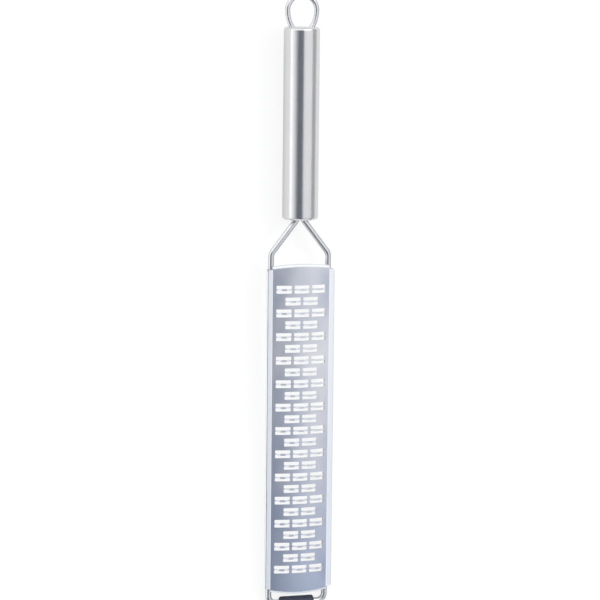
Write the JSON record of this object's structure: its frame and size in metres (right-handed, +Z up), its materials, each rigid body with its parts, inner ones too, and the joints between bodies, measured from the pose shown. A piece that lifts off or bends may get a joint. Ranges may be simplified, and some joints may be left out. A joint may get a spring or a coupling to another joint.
{
  "type": "flat grater",
  "caption": "Hand held flat grater: round tube handle with hanging loop, bent wire frame, domed steel plate with raised two way blades, rubber foot.",
  "frame": {"origin": "on the ground, under the middle of the grater's length and width", "axes": "+Y along the grater from foot to hanging loop, +Z up, the side the blades stand on, +X to the right"},
  "size_m": [0.045, 0.401, 0.0267],
  "materials": {
    "handle_steel": "fine satin polish",
    "wire_steel": "polished wire",
    "plate_steel": "smooth satin sheet",
    "foot_rubber": "matte moulded rubber"
  },
  "bodies": {
    "root": {"handle_tube": "handle_steel", "upper_end_cap": "handle_steel", "lower_end_cap": "handle_steel", "hanging_loop": "wire_steel", "wire_frame": "wire_steel", "grating_plate": "plate_steel", "end_foot": "foot_rubber"}
  },
  "joints": []
}
